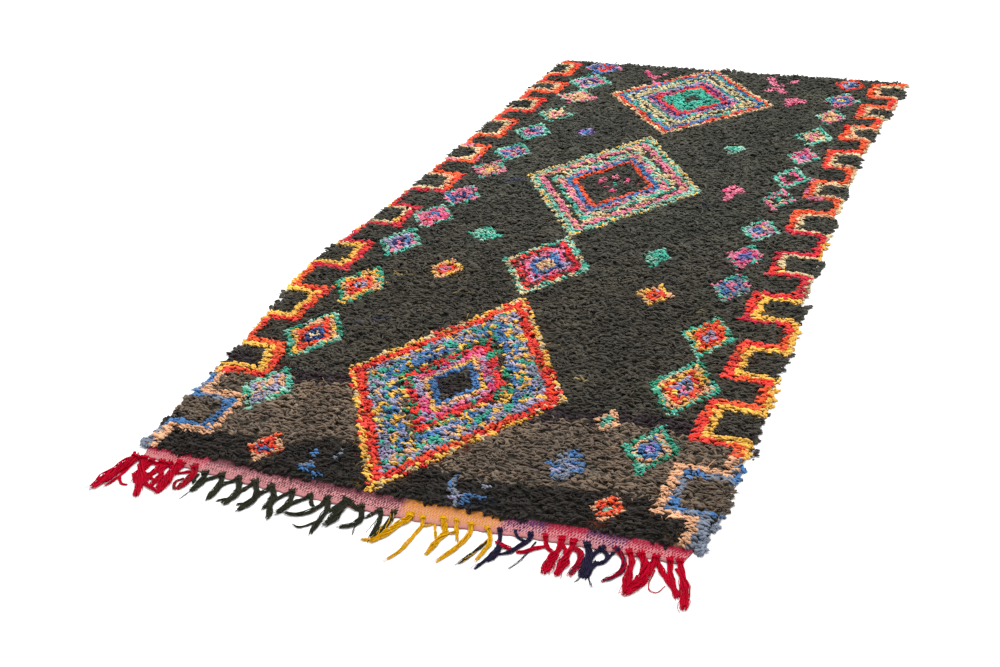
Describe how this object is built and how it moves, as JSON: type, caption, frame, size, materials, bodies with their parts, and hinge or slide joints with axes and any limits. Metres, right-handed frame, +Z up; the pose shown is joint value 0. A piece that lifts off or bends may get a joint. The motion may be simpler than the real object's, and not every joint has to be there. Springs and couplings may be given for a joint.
{
  "type": "boucherouite rug",
  "caption": "Long shaggy rag-pile rug with rows of diamond motifs, a flat-woven end and a knotted fringe; it lies flat on a floor.",
  "frame": {"origin": "on the floor, under the middle of the whole rug with its fringe", "axes": "+Z up from the floor, +Y along the rug's length away from the fringed end, +X to the right when the rug is seen from the fringed end"},
  "size_m": [1.3526, 2.7785, 0.03],
  "materials": {
    "charcoal_rag_pile": "shaggy rag pile",
    "pink_flat_weave": "flat weave",
    "red_warp_left": "knotted yarn",
    "dark_green_warp": "knotted yarn",
    "yellow_warp": "knotted yarn",
    "navy_warp_inner": "knotted yarn",
    "red_warp_inner": "knotted yarn",
    "navy_warp_outer": "knotted yarn",
    "red_warp_right": "knotted yarn"
  },
  "bodies": {
    "root": {"pile_field": "charcoal_rag_pile", "woven_end": "pink_flat_weave", "fringe_red_left": "red_warp_left", "fringe_dark_green": "dark_green_warp", "fringe_yellow": "yellow_warp", "fringe_navy_inner": "navy_warp_inner", "fringe_red_inner": "red_warp_inner", "fringe_navy_outer": "navy_warp_outer", "fringe_red_right": "red_warp_right"}
  },
  "joints": []
}
